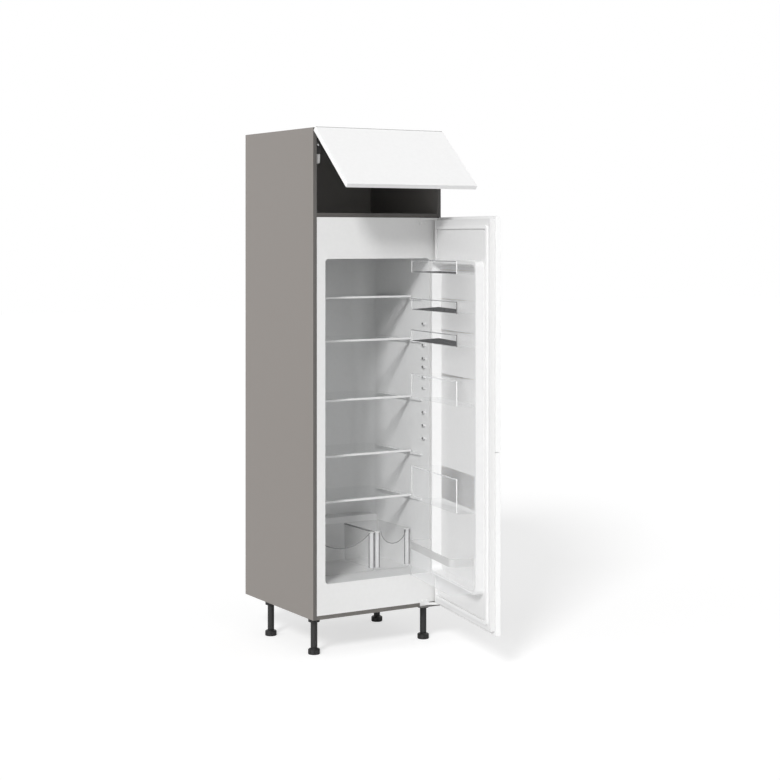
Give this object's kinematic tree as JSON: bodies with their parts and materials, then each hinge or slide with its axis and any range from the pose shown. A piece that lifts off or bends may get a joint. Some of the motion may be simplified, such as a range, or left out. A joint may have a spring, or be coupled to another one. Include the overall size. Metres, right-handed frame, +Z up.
{
  "type": "fridge housing unit",
  "caption": "Tall kitchen housing on adjustable legs with a built-in fridge, a right-hinged door carrying furniture fronts, and a lift-up flap over a top compartment.",
  "frame": {"origin": "on the floor, under the centre of the carcass footprint", "axes": "+X to the right seen from the front, +Y to the wall behind, +Z up; the fronts face -Y"},
  "size_m": [0.6064, 1.1923, 2.1021],
  "materials": {
    "carcass_board": "satin",
    "dark_board": "satin",
    "black_plastic": "matte",
    "galvanised_steel": "satin",
    "white_enamel": "gloss",
    "white_plastic": "satin",
    "foam": "matte",
    "black_steel": "satin",
    "grey_plastic": "satin",
    "lamp_lens": "satin",
    "gasket_rubber": "matte",
    "clear_plastic": "gloss",
    "shelf_glass": "gloss",
    "front_lacquer": "gloss",
    "zinc": "satin"
  },
  "bodies": {
    "housing": {"left_side_panel": "carcass_board", "right_side_panel": "carcass_board", "bottom_panel": "carcass_board", "middle_shelf": "dark_board", "top_panel": "dark_board", "upper_back_panel": "dark_board", "rear_rails": "carcass_board", "leg_front_left": "black_plastic", "leg_front_right": "black_plastic", "leg_rear_left": "black_plastic", "leg_rear_right": "black_plastic", "appliance_casing": "galvanised_steel", "appliance_front_frame": "white_enamel", "appliance_insulation": "foam", "appliance_liner": "white_plastic", "lamp_housing": "lamp_lens", "compressor": "black_steel", "evaporation_tray": "black_plastic", "condenser": "black_steel", "cord_gland": "black_plastic", "upper_hinge_bracket": "white_enamel", "lower_hinge_bracket": "white_enamel", "flap_hinge_arms": "zinc", "lift_units": "grey_plastic"},
    "door": {"door_outer_panel": "galvanised_steel", "door_insulation": "foam", "door_liner": "white_plastic", "door_end_caps": "white_plastic", "door_gasket": "gasket_rubber", "door_rack_1": "clear_plastic", "door_rack_2": "clear_plastic", "door_rack_3": "clear_plastic", "door_rack_4": "clear_plastic", "door_rack_5": "clear_plastic", "bottle_rack": "clear_plastic", "upper_front": "front_lacquer", "lower_front": "front_lacquer", "front_brackets": "zinc"},
    "flap": {"flap_front": "front_lacquer", "flap_hinge_cups": "zinc"},
    "crisper_drawer_left": {"crisper_drawer_left": "clear_plastic"},
    "crisper_drawer_right": {"crisper_drawer_right": "clear_plastic"},
    "shelf_1": {"shelf_glass_1": "shelf_glass", "shelf_trim_1": "white_plastic"},
    "shelf_2": {"shelf_glass_2": "shelf_glass", "shelf_trim_2": "white_plastic"},
    "shelf_3": {"shelf_glass_3": "shelf_glass", "shelf_trim_3": "white_plastic"},
    "shelf_4": {"shelf_glass_4": "shelf_glass", "shelf_trim_4": "white_plastic"},
    "shelf_5": {"shelf_glass_5": "shelf_glass", "shelf_trim_5": "white_plastic"},
    "foot_front_left": {"foot_front_left": "black_plastic"},
    "foot_front_right": {"foot_front_right": "black_plastic"},
    "foot_rear_left": {"foot_rear_left": "black_plastic"},
    "foot_rear_right": {"foot_rear_right": "black_plastic"}
  },
  "joints": [
    {"name": "door_hinge", "type": "hinge", "parent": "housing", "child": "door", "pos_m": [0.278, -0.3225, 0.95], "axis": [0, 0, 1], "range_deg": [-78.5, 15]},
    {"name": "flap_hinge", "type": "hinge", "parent": "housing", "child": "flap", "pos_m": [0, -0.313, 2.0925], "axis": [-1, 0, 0], "range_deg": [-48, 52]},
    {"name": "drawer_left_slide", "type": "slide", "parent": "housing", "child": "crisper_drawer_left", "axis": [0, -1, 0], "range_m": [0, 0.3]},
    {"name": "drawer_right_slide", "type": "slide", "parent": "housing", "child": "crisper_drawer_right", "axis": [0, -1, 0], "range_m": [0, 0.15]},
    {"name": "shelf_1_slide", "type": "slide", "parent": "housing", "child": "shelf_1", "axis": [0, -1, 0], "range_m": [0, 0.11]},
    {"name": "shelf_2_slide", "type": "slide", "parent": "housing", "child": "shelf_2", "axis": [0, -1, 0], "range_m": [0, 0.11]},
    {"name": "shelf_3_slide", "type": "slide", "parent": "housing", "child": "shelf_3", "axis": [0, -1, 0], "range_m": [0, 0.11]},
    {"name": "shelf_4_slide", "type": "slide", "parent": "housing", "child": "shelf_4", "axis": [0, -1, 0], "range_m": [0, 0.11]},
    {"name": "shelf_5_slide", "type": "slide", "parent": "housing", "child": "shelf_5", "axis": [0, -1, 0], "range_m": [0, 0.11]},
    {"name": "foot_front_left_turn", "type": "hinge", "parent": "housing", "child": "foot_front_left", "pos_m": [-0.258, -0.23, 0], "axis": [0, 0, 1], "continuous": true},
    {"name": "foot_front_right_turn", "type": "hinge", "parent": "housing", "child": "foot_front_right", "pos_m": [0.258, -0.23, 0], "axis": [0, 0, 1], "continuous": true},
    {"name": "foot_rear_left_turn", "type": "hinge", "parent": "housing", "child": "foot_rear_left", "pos_m": [-0.258, 0.146, 0], "axis": [0, 0, 1], "continuous": true},
    {"name": "foot_rear_right_turn", "type": "hinge", "parent": "housing", "child": "foot_rear_right", "pos_m": [0.258, 0.146, 0], "axis": [0, 0, 1], "continuous": true}
  ]
}
